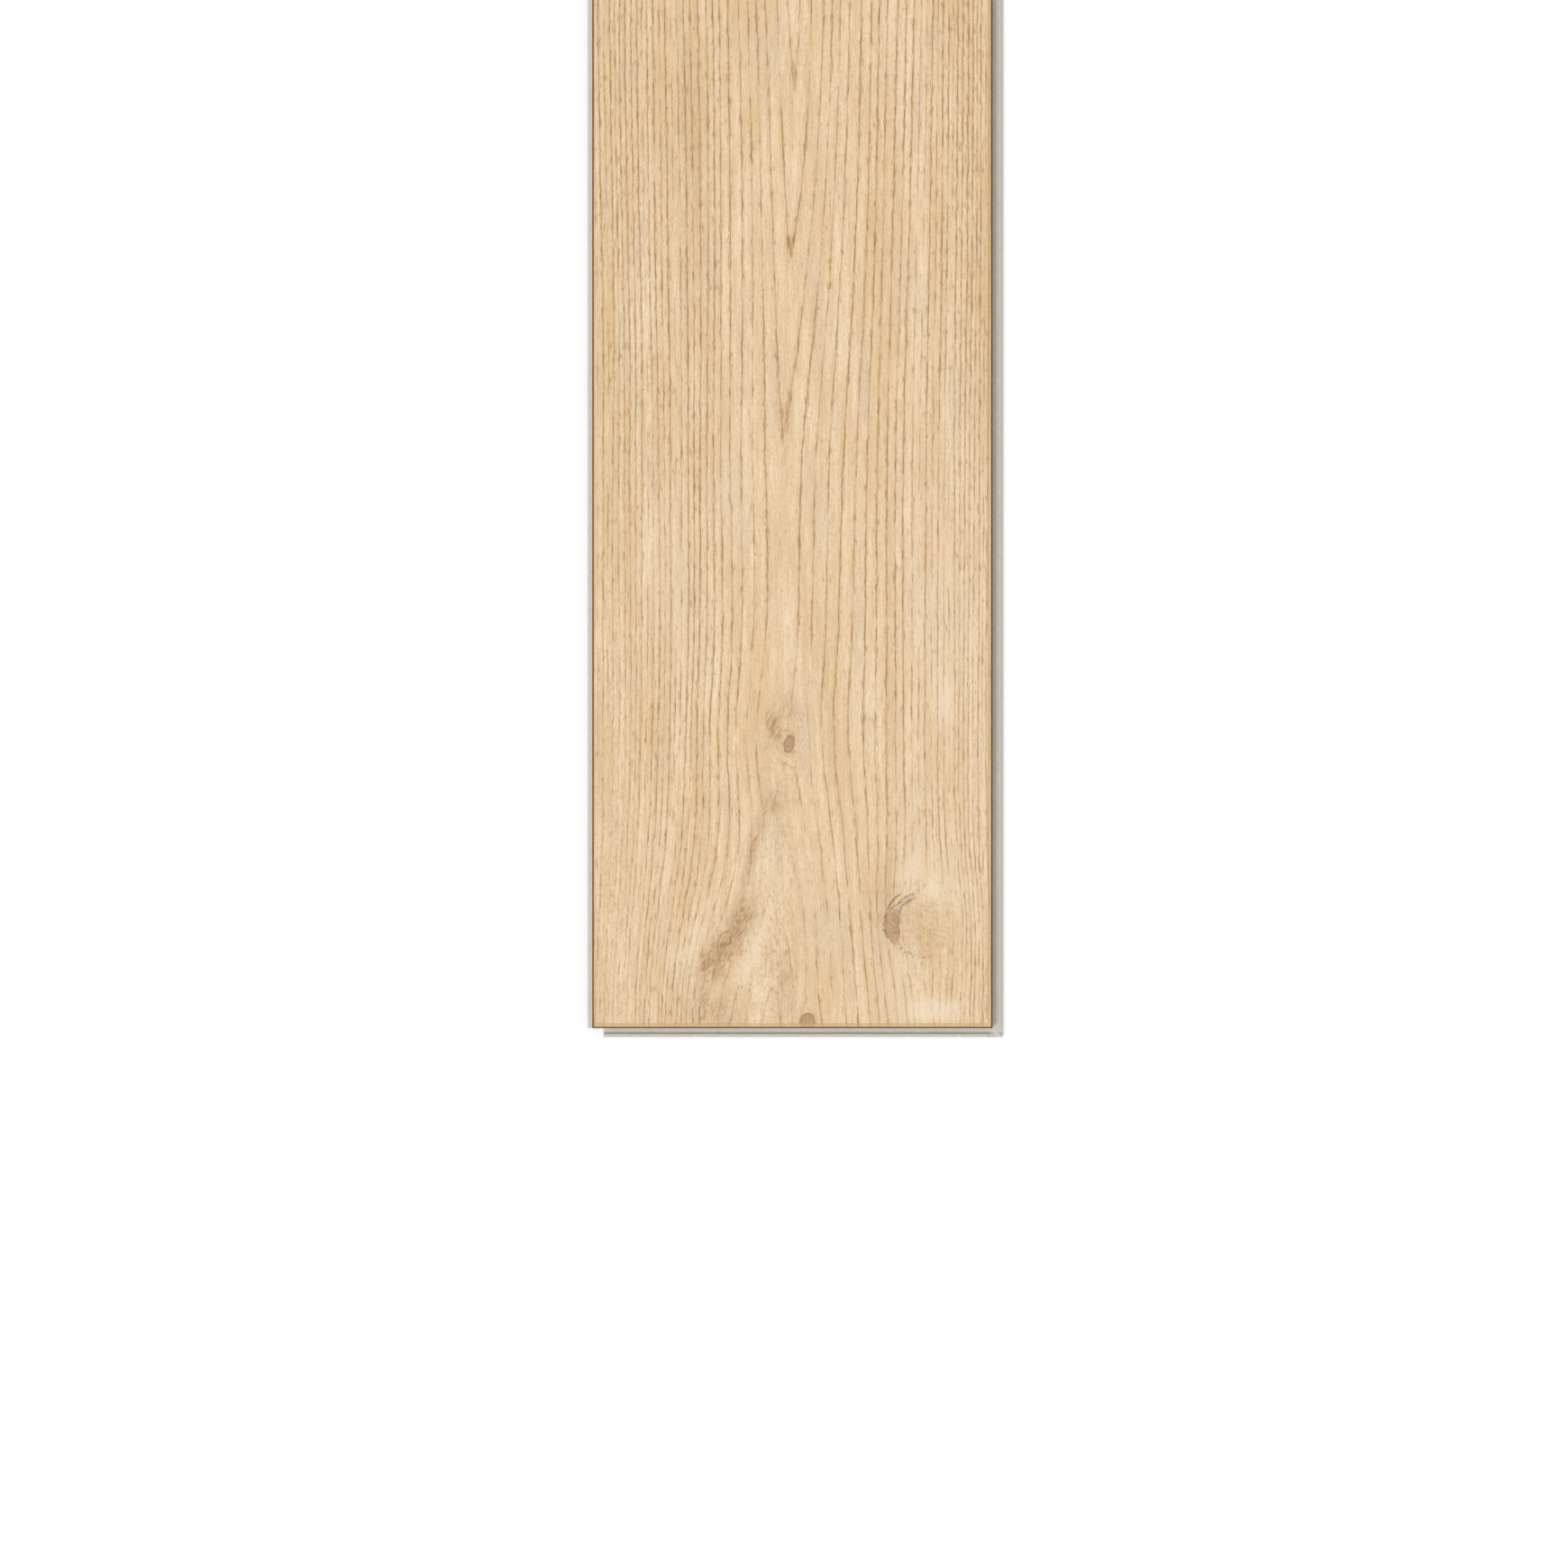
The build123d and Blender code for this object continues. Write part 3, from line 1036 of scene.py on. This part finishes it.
def make_core(settings):
    """Milled flanks of the rigid core, with the cutters' marks along them."""
    material, net = start_material("Rigid core")
    place = net.place_mm()
    dust = stone_dust(net, settings, place)
    marks = net.noise(net.scaled(place, 0.4, 0.4, 6), 1, 3)
    height = net.stretched(marks, 0.6, net.times(dust["Height"], 0.4))
    net.give("Base Color", dust["Colour"])
    net.give("Roughness", net.stretched(dust["Height"], 0.2, 0.6))
    net.give("Normal", net.bump(height, CORE_MARK_DEPTH, 0.5))
    return material


def make_underside(settings):
    """Underside of the core, with the sanded lines that run along it."""
    material, net = start_material("Sanded underside")
    place = net.place_mm()
    dust = stone_dust(net, settings, place)
    sanded = net.noise(net.scaled(place, 1.4, 0.01), 1, 3, 0.7)
    lines = net.fade(sanded, 0.35, 0.75)
    shaded = net.layered(dust["Colour"], [(lines, 0.35, settings.core_speck)])
    net.give("Base Color", shaded)
    net.give("Roughness", net.stretched(sanded, 0.2, 0.58))
    net.give("Normal", net.bump(sanded, CORE_MARK_DEPTH, 0.6))
    return material


# Settings, operators and panel. The floor is a disc just under the plank, and the lamp is tipped by
# these turns about the first two axes.

FLOOR_RADIUS = 12
FLOOR_DROP = 0.3 * MM
LAMP_TURNS = (28, -32)
CAMERA_REACH = 100
WHITE = (1, 1, 1, 1)


class PlankFaceSettings(bpy.types.PropertyGroup):
    """Sizes and colours of the dressed plank."""

    columns: bpy.props.IntProperty(
        name="Columns", description="Divisions of the face's mesh across the plank", default=290, min=20
    )
    row_step: size("Row step", "Length of the face's mesh divisions along the plank", 4.7 * MM)
    close_row_step: size("Close row step", "Length of those divisions over a knot", 1.9 * MM)
    relief: size("Relief", "Depth of the ring lines pressed into the face", 0.07 * MM)
    pore_depth: size("Pore depth", "Depth of the pores in the bump of the decor", 0.1 * MM)
    light_wood: colour("Light wood", "Palest tone of the oak", (253, 230, 195))
    dark_wood: colour("Dark wood", "Deepest tone between the ring lines", (232, 199, 154))
    grey_wood: colour("Grey wood", "Greyer patches of the oak", (230, 207, 179))
    pale_wood: colour("Pale wood", "Pale patches beside the knots", (243, 222, 192))
    soft_line: colour("Ring line", "Soft ring lines and hairs", (196, 158, 110))
    pore: colour("Pore", "Pores, and dashes on the ring lines", (162, 121, 75))
    stain: colour("Stain", "Dark streaks beside the knots", (183, 145, 100))
    knot: colour("Knot", "Body of a knot", (189, 154, 114))
    knot_rim: colour("Knot rim", "Dark rim of a knot", (160, 122, 81))
    knot_spot: colour("Knot spot", "Spots in a knot", (143, 106, 67))
    speck: colour("Speck", "Pale dots of the bark pocket", (210, 194, 168))
    # Painted shade: colour of the darker line where the pressed strips fold down, and of the shade
    # beside the tongue side's bevel
    crease_shade: colour("Crease", "Line where the pressed strips begin", (192, 156, 113))
    # Painted shade: colour that the pressed strips are darkened to for their slope
    pressed_strip_shade: colour("Pressed strip", "Pressed strips beside the bevel", (206, 174, 128))
    bevel_paint: colour("Bevel paint", "Painted bevels", (112, 72, 24))
    bevel_worn: colour("Worn bevel", "Thin places in the bevel paint", (128, 87, 38))
    core: colour("Core", "Stone-filled core where it is milled", (216, 209, 198))
    core_speck: colour("Core speck", "Specks in the core", (184, 176, 164))


class StageSettings(bpy.types.PropertyGroup):
    """Light, floor and camera."""

    sky: strength("Sky", "Strength of the even light from all round", 0.65, 4)
    lamp: strength("Lamp", "Strength of the soft lamp", 1.55, 20)
    lamp_size: bpy.props.FloatProperty(
        name="Lamp size", description="Angle that the lamp spans", default=radians(25), subtype="ANGLE"
    )
    floor: colour("Floor", "Floor under the plank", (237, 237, 237))
    lens: bpy.props.FloatProperty(
        name="Lens", description="Focal length of the camera", default=100, min=20, unit="CAMERA"
    )


class FLOOR_PLANK_OT_dress(bpy.types.Operator):
    """Builds the dressed plank over the CAD plank"""

    bl_idname = "floor_plank.dress"
    bl_label = "Dress plank"

    def execute(self, context):
        settings = context.scene.floor_plank_face
        mesh, lines = plank_mesh(settings)
        for make_group in GROUP_MAKERS:
            make_group()
        mesh.materials.append(make_decor(settings, lines))
        for make_material in (make_bevel, make_core, make_underside):
            mesh.materials.append(make_material(settings))
        piece = bpy.data.objects.new("oak_vinyl_plank", mesh)
        context.scene.collection.objects.link(piece)
        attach(piece, "root")
        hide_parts("plank")
        return {"FINISHED"}


class FLOOR_PLANK_OT_stage(bpy.types.Operator):
    """Sets up the floor, the light and the camera over the plank"""

    bl_idname = "floor_plank.stage"
    bl_label = "Set stage"

    def execute(self, context):
        settings = context.scene.floor_plank_stage
        self.lay_floor(context, settings)
        self.light(context, settings)
        self.aim_camera(context, settings)
        return {"FINISHED"}

    def lay_floor(self, context, settings):
        """Lays a floor that the camera sees as white, and that throws back no more than its colour."""
        bm = bmesh.new()
        bmesh.ops.create_circle(bm, cap_ends=True, segments=64, radius=FLOOR_RADIUS)
        bmesh.ops.translate(bm, verts=bm.verts, vec=(0, 0, -FLOOR_DROP))
        mesh = bpy.data.meshes.new("floor")
        bm.to_mesh(mesh)
        bm.free()
        material, net = start_material("White floor")
        path = net.add("LightPath").outputs
        seen = net.larger(path["Is Camera Ray"], path["Is Glossy Ray"])
        seen = net.larger(seen, path["Is Transmission Ray"])
        net.give("Base Color", opaque(settings.floor))
        net.give("Roughness", 1)
        net.give("Specular IOR Level", 0)
        net.give("Emission Color", WHITE)
        net.give("Emission Strength", net.times(seen, 1 - settings.floor[0]))
        mesh.materials.append(material)
        floor_piece = bpy.data.objects.new("floor", mesh)
        context.scene.collection.objects.link(floor_piece)

    def light(self, context, settings):
        """Lights the plank evenly from all round, and from one side with a soft lamp."""
        world = bpy.data.worlds.new("Even light")
        context.scene.world = world
        world.use_nodes = True
        background = world.node_tree.nodes["Background"]
        background.inputs["Color"].default_value = WHITE
        background.inputs["Strength"].default_value = settings.sky
        lamp = bpy.data.lights.new("Soft lamp", "SUN")
        lamp.energy = settings.lamp
        lamp.angle = settings.lamp_size
        lamp_object = bpy.data.objects.new("Soft lamp", lamp)
        lamp_object.rotation_euler = [radians(turn) for turn in LAMP_TURNS] + [0]
        context.scene.collection.objects.link(lamp_object)

    def aim_camera(self, context, settings):
        """Looks straight down from where the plank's butt lines fall as they do in the photo."""
        lines = cad_face_lines()
        pixel = (lines.high.x - lines.low.x) / (PHOTO_RIGHT_BUTT - PHOTO_LEFT_BUTT)
        middle = (PHOTO_LEFT_BUTT + PHOTO_RIGHT_BUTT) / 2
        camera = bpy.data.cameras.new("Camera")
        camera.lens = settings.lens
        camera.clip_end = CAMERA_REACH
        camera_object = bpy.data.objects.new("Camera", camera)
        distance = PHOTO_SIDE * pixel * camera.lens / camera.sensor_width
        camera_object.location = (
            (lines.low.x + lines.high.x) / 2 + (PHOTO_SIDE / 2 - middle) * pixel,
            lines.low.y + (PHOTO_STRIP_BUTT - PHOTO_SIDE / 2) * pixel,
            lines.butt_height + distance,
        )
        context.scene.collection.objects.link(camera_object)
        context.scene.camera = camera_object
        context.scene.view_settings.view_transform = "Standard"


class FLOOR_PLANK_PT_panel(bpy.types.Panel):
    """Lists the operators and their settings"""

    bl_label = "Floor plank"
    bl_idname = "FLOOR_PLANK_PT_panel"
    bl_space_type = "VIEW_3D"
    bl_region_type = "UI"
    bl_category = "Floor plank"

    def draw(self, context):
        scene = context.scene
        for operator, settings in (
            (FLOOR_PLANK_OT_dress, scene.floor_plank_face),
            (FLOOR_PLANK_OT_stage, scene.floor_plank_stage),
        ):
            box = self.layout.box()
            box.operator(operator.bl_idname)
            for name in settings.__annotations__:
                box.prop(settings, name)


CLASSES = (
    PlankFaceSettings,
    StageSettings,
    FLOOR_PLANK_OT_dress,
    FLOOR_PLANK_OT_stage,
    FLOOR_PLANK_PT_panel,
)


def register():
    for item in CLASSES:
        bpy.utils.register_class(item)
    bpy.types.Scene.floor_plank_face = bpy.props.PointerProperty(type=PlankFaceSettings)
    bpy.types.Scene.floor_plank_stage = bpy.props.PointerProperty(type=StageSettings)


def unregister():
    del bpy.types.Scene.floor_plank_stage
    del bpy.types.Scene.floor_plank_face
    for item in reversed(CLASSES):
        bpy.utils.unregister_class(item)


def main():
    register()
    bpy.ops.floor_plank.dress()
    bpy.ops.floor_plank.stage()


if __name__ == "__main__":
    main()
